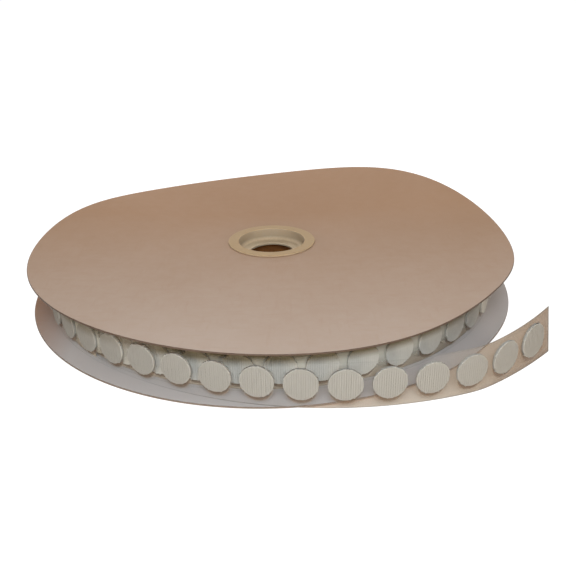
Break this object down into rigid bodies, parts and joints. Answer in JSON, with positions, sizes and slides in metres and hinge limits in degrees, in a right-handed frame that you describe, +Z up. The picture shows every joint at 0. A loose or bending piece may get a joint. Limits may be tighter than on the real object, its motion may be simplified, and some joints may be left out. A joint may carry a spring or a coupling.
{
  "type": "roll of hook dots",
  "caption": "Reel of round self-stick hook dots on a clear film, wound between two paperboard discs on a plastic hub with an arbor hole, with the film's free end hanging out to peel dots from",
  "frame": {"origin": "on the reel's axis, at the height of the lower hub lip that it stands on", "axes": "+Z up along the reel's axis, -Y towards the viewer of the picture, +X to the viewer's right"},
  "size_m": [0.2794, 0.2827, 0.0403],
  "materials": {
    "tan_board": "smooth matte",
    "grey_board": "smooth matte",
    "hub": "moulded satin",
    "film": "clear film",
    "winding": "layers of film and woven hook",
    "dots": "woven hook"
  },
  "bodies": {
    "reel": {"lower_hub": "hub", "upper_hub": "hub", "bottom_flange": "grey_board", "top_flange": "tan_board", "core_tube": "tan_board", "wound_tape": "winding", "liner_outer_turn": "film", "wound_dot_01": "dots", "wound_dot_02": "dots", "wound_dot_03": "dots", "wound_dot_04": "dots", "wound_dot_05": "dots", "wound_dot_06": "dots", "wound_dot_07": "dots", "wound_dot_08": "dots", "wound_dot_09": "dots", "wound_dot_10": "dots", "wound_dot_11": "dots", "wound_dot_12": "dots", "wound_dot_13": "dots", "wound_dot_14": "dots", "wound_dot_15": "dots", "wound_dot_16": "dots", "wound_dot_17": "dots", "wound_dot_18": "dots", "wound_dot_19": "dots", "wound_dot_20": "dots", "wound_dot_21": "dots", "wound_dot_22": "dots", "wound_dot_23": "dots", "wound_dot_24": "dots", "wound_dot_25": "dots", "wound_dot_26": "dots", "wound_dot_27": "dots", "wound_dot_28": "dots", "wound_dot_29": "dots", "wound_dot_30": "dots", "wound_dot_31": "dots", "wound_dot_32": "dots", "wound_dot_33": "dots", "wound_dot_34": "dots", "wound_dot_35": "dots", "wound_dot_36": "dots", "wound_dot_37": "dots", "wound_dot_38": "dots", "wound_dot_39": "dots", "wound_dot_40": "dots"},
    "tail": {"liner_tail": "film"},
    "peeling_dot_01": {"tail_dot_01": "dots"},
    "peeling_dot_02": {"tail_dot_02": "dots"},
    "peeling_dot_03": {"tail_dot_03": "dots"},
    "peeling_dot_04": {"tail_dot_04": "dots"},
    "peeling_dot_05": {"tail_dot_05": "dots"},
    "peeling_dot_06": {"tail_dot_06": "dots"},
    "peeling_dot_07": {"tail_dot_07": "dots"},
    "peeling_dot_08": {"tail_dot_08": "dots"},
    "peeling_dot_09": {"tail_dot_09": "dots"},
    "peeling_dot_10": {"tail_dot_10": "dots"},
    "peeling_dot_11": {"tail_dot_11": "dots"},
    "peeling_dot_12": {"tail_dot_12": "dots"}
  },
  "joints": [
    {"name": "tail_swing", "type": "hinge", "parent": "reel", "child": "tail", "pos_m": [-0.08105, -0.10084, 0.01324], "axis": [0, 0, -1], "range_deg": [0, 60], "stiffness_Nm_per_rad": 0.0002},
    {"name": "peel_01", "type": "slide", "parent": "tail", "child": "peeling_dot_01", "axis": [-0.5966, -0.8025, 0], "range_m": [0, 0.02]},
    {"name": "peel_02", "type": "slide", "parent": "tail", "child": "peeling_dot_02", "axis": [-0.5058, -0.8627, 0], "range_m": [0, 0.02]},
    {"name": "peel_03", "type": "slide", "parent": "tail", "child": "peeling_dot_03", "axis": [-0.4089, -0.9126, 0], "range_m": [0, 0.02]},
    {"name": "peel_04", "type": "slide", "parent": "tail", "child": "peeling_dot_04", "axis": [-0.3071, -0.9517, 0], "range_m": [0, 0.02]},
    {"name": "peel_05", "type": "slide", "parent": "tail", "child": "peeling_dot_05", "axis": [-0.2017, -0.9794, 0], "range_m": [0, 0.02]},
    {"name": "peel_06", "type": "slide", "parent": "tail", "child": "peeling_dot_06", "axis": [-0.0939, -0.9956, 0], "range_m": [0, 0.02]},
    {"name": "peel_07", "type": "slide", "parent": "tail", "child": "peeling_dot_07", "axis": [0.015, -0.9999, 0], "range_m": [0, 0.02]},
    {"name": "peel_08", "type": "slide", "parent": "tail", "child": "peeling_dot_08", "axis": [0.1237, -0.9923, 0], "range_m": [0, 0.02]},
    {"name": "peel_09", "type": "slide", "parent": "tail", "child": "peeling_dot_09", "axis": [0.2309, -0.973, 0], "range_m": [0, 0.02]},
    {"name": "peel_10", "type": "slide", "parent": "tail", "child": "peeling_dot_10", "axis": [0.3354, -0.942, 0.0084], "range_m": [0, 0.02]},
    {"name": "peel_11", "type": "slide", "parent": "tail", "child": "peeling_dot_11", "axis": [0.5417, -0.8392, 0.0474], "range_m": [0, 0.02]},
    {"name": "peel_12", "type": "slide", "parent": "tail", "child": "peeling_dot_12", "axis": [0.5992, -0.7939, 0.1031], "range_m": [0, 0.02]}
  ]
}
